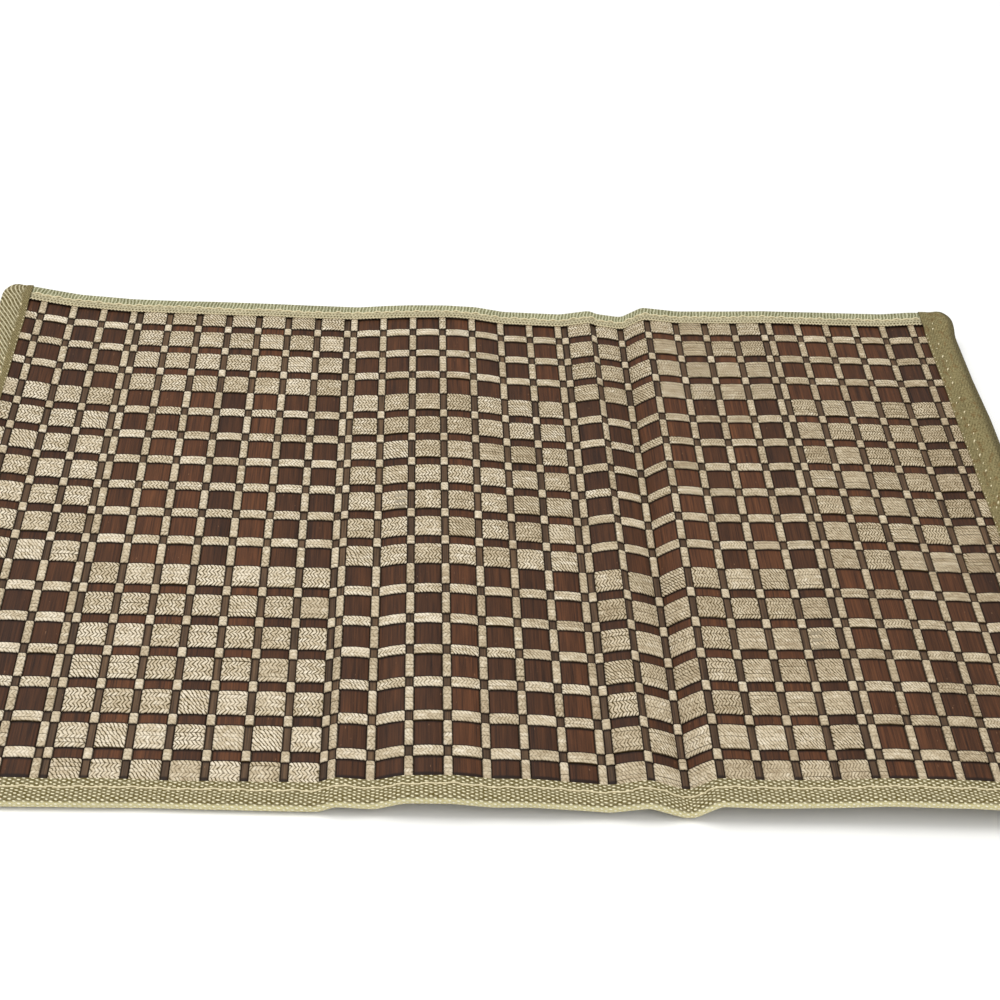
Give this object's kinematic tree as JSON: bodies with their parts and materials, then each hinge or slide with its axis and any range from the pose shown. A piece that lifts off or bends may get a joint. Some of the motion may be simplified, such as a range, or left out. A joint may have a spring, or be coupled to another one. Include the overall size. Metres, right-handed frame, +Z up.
{
  "type": "bamboo placemat",
  "caption": "Rectangular placemat woven from bamboo slats and cotton yarn, bound on all edges with folded webbing tape, lying with one crease.",
  "frame": {"origin": "under the middle of the mat, on the surface that it lies on", "axes": "+X across the slats towards the right edge, +Y along the slats towards the back edge, +Z up"},
  "size_m": [0.4446, 0.302, 0.0138],
  "materials": {
    "bamboo": "satin",
    "yarn": "matte",
    "webbing": "matte",
    "side_webbing": "matte",
    "thread": "matte"
  },
  "bodies": {
    "root": {"woven_sheet": "bamboo", "binding_front": "webbing", "binding_back": "webbing", "binding_left": "side_webbing", "binding_right": "side_webbing"}
  },
  "joints": []
}
